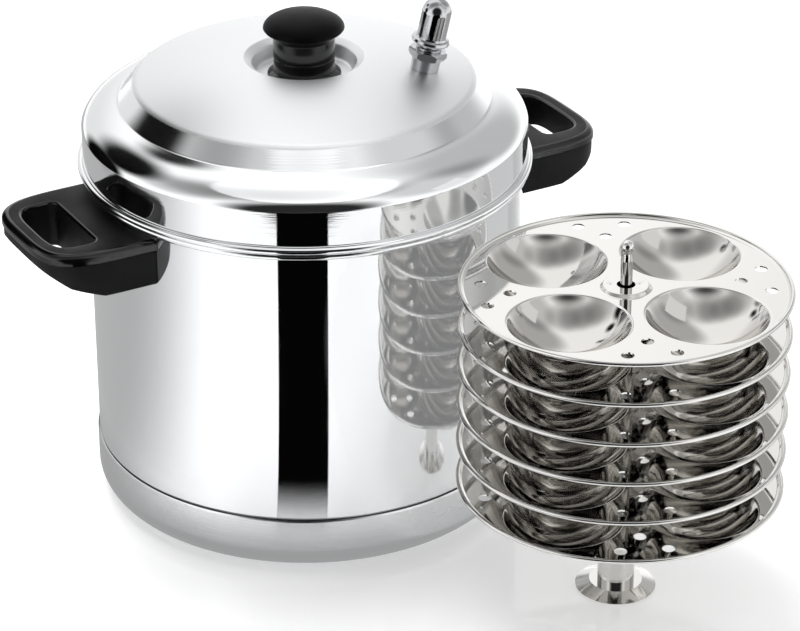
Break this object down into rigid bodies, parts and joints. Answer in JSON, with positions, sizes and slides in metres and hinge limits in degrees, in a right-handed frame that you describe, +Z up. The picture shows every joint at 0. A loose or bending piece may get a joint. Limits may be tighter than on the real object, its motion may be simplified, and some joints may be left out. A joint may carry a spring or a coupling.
{
  "type": "idli steamer",
  "caption": "Straight steel steaming pot with a domed lid, top knob, vent weight and side handles, beside a lift-out stand of stacked cup plates on a central rod.",
  "frame": {"origin": "centre of the pot's base, on the floor", "axes": "+Z up along the pot's axis, +X along the line of the handles towards the right handle, the plate stand towards -Y"},
  "size_m": [0.316, 0.3764, 0.266],
  "materials": {
    "polished_steel": "mirror polished stainless steel sheet",
    "base_steel": "satin stainless steel base cap",
    "core_aluminium": "plain aluminium disc, hidden",
    "bakelite": "black moulded bakelite, grained and glossy areas",
    "plate_steel": "polished pressed stainless steel",
    "fitting_steel": "turned and plated fittings",
    "insert_brass": "turned brass",
    "gasket_rubber": "black silicone rubber"
  },
  "bodies": {
    "pot": {"pot_body": "polished_steel", "base_core": "core_aluminium", "base_cap": "base_steel", "handle_bracket_left": "fitting_steel", "handle_bracket_right": "fitting_steel", "handle_left": "bakelite", "handle_right": "bakelite", "handle_screw_left": "fitting_steel", "handle_screw_right": "fitting_steel"},
    "lid": {"lid_shell": "polished_steel", "knob": "bakelite", "knob_base": "bakelite", "knob_insert": "insert_brass", "knob_screw": "fitting_steel", "knob_washer": "fitting_steel", "vent_nozzle": "fitting_steel", "vent_gasket": "gasket_rubber", "vent_nut": "fitting_steel"},
    "weight": {"vent_weight": "fitting_steel"},
    "stand": {"stand_foot": "plate_steel", "stand_rod": "plate_steel", "stand_nut": "fitting_steel"},
    "plate_1": {"idli_plate_1": "plate_steel", "plate_hub_1": "plate_steel"},
    "plate_2": {"idli_plate_2": "plate_steel", "plate_hub_2": "plate_steel"},
    "plate_3": {"idli_plate_3": "plate_steel", "plate_hub_3": "plate_steel"},
    "plate_4": {"idli_plate_4": "plate_steel", "plate_hub_4": "plate_steel"},
    "plate_5": {"idli_plate_5": "plate_steel", "plate_hub_5": "plate_steel"},
    "plate_6": {"idli_plate_6": "plate_steel", "plate_hub_6": "plate_steel"}
  },
  "joints": [
    {"name": "lid_lift", "type": "slide", "parent": "pot", "child": "lid", "axis": [0, 0, 1], "range_m": [0, 0.15]},
    {"name": "weight_lift", "type": "slide", "parent": "lid", "child": "weight", "axis": [0.1668, -0.1104, 0.9798], "range_m": [0, 0.03]},
    {"name": "stand_lift", "type": "slide", "parent": "pot", "child": "stand", "axis": [0, 0, 1], "range_m": [0, 0.19]},
    {"name": "plate_1_lift", "type": "slide", "parent": "stand", "child": "plate_1", "axis": [0, 0, 1], "range_m": [0, 0.1522]},
    {"name": "plate_2_lift", "type": "slide", "parent": "plate_1", "child": "plate_2", "axis": [0, 0, 1], "range_m": [0, 0.1313]},
    {"name": "plate_3_lift", "type": "slide", "parent": "plate_2", "child": "plate_3", "axis": [0, 0, 1], "range_m": [0, 0.1104]},
    {"name": "plate_4_lift", "type": "slide", "parent": "plate_3", "child": "plate_4", "axis": [0, 0, 1], "range_m": [0, 0.0895]},
    {"name": "plate_5_lift", "type": "slide", "parent": "plate_4", "child": "plate_5", "axis": [0, 0, 1], "range_m": [0, 0.0686]},
    {"name": "plate_6_lift", "type": "slide", "parent": "plate_5", "child": "plate_6", "axis": [0, 0, 1], "range_m": [0, 0.0477]}
  ]
}
